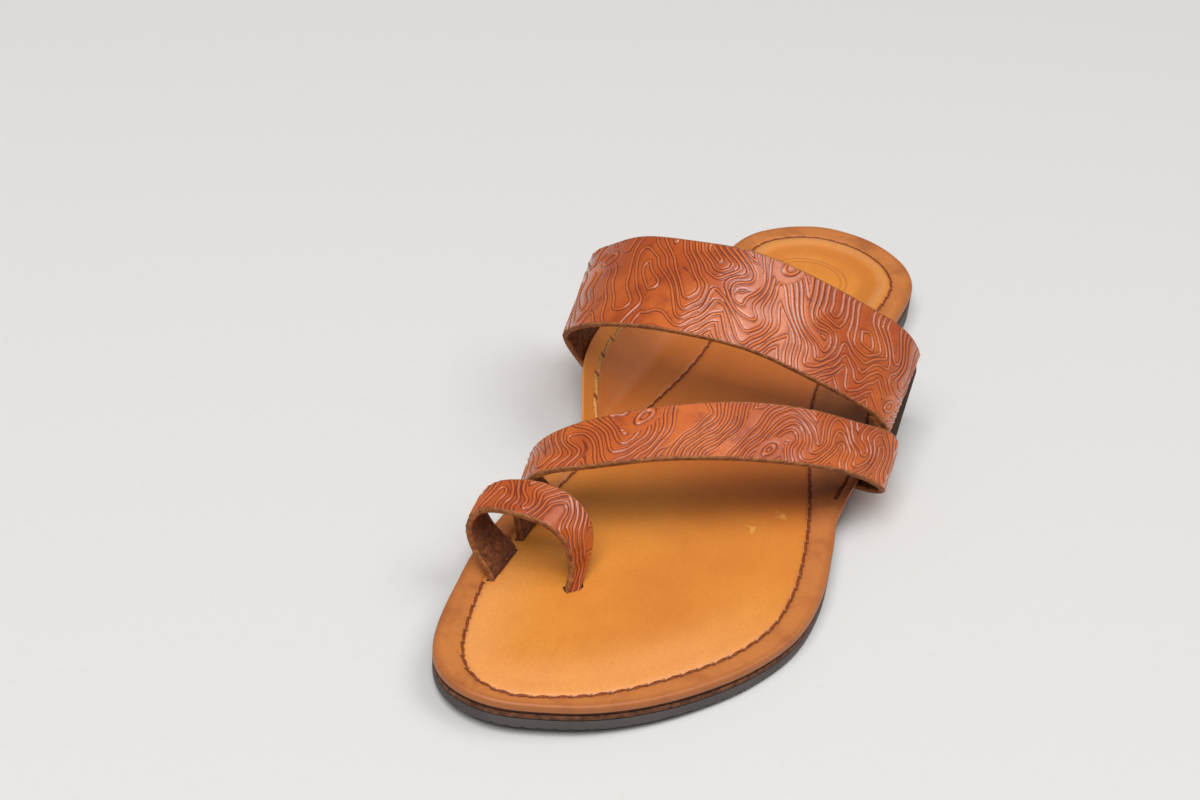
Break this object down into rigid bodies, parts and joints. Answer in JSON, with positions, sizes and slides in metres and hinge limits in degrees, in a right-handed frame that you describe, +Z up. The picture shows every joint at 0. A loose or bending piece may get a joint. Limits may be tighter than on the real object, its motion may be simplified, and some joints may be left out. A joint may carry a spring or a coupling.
{
  "type": "toe-loop leather sandal",
  "caption": "Open left leather slipper with a toe loop, a diagonal front strap and a broad instep strap on a stitched footbed, fibre midsole and flat rubber sole",
  "frame": {"origin": "on the floor, under the middle of the whole sandal's box", "axes": "+Z up, toe towards -Y, heel towards +Y, medial side towards -X"},
  "size_m": [0.12, 0.2862, 0.075],
  "materials": {
    "rubber": "matt grey-brown moulded rubber",
    "fibre_board": "raw brown fibre board edge",
    "footbed_leather": "smooth tan leather, lightly polished",
    "strap_leather": "embossed red-brown leather, waxed",
    "thread": "waxed sewing thread"
  },
  "bodies": {
    "root": {"outsole": "rubber", "midsole": "fibre_board", "footbed": "footbed_leather", "strap_upper": "strap_leather", "toe_loop": "strap_leather"}
  },
  "joints": []
}
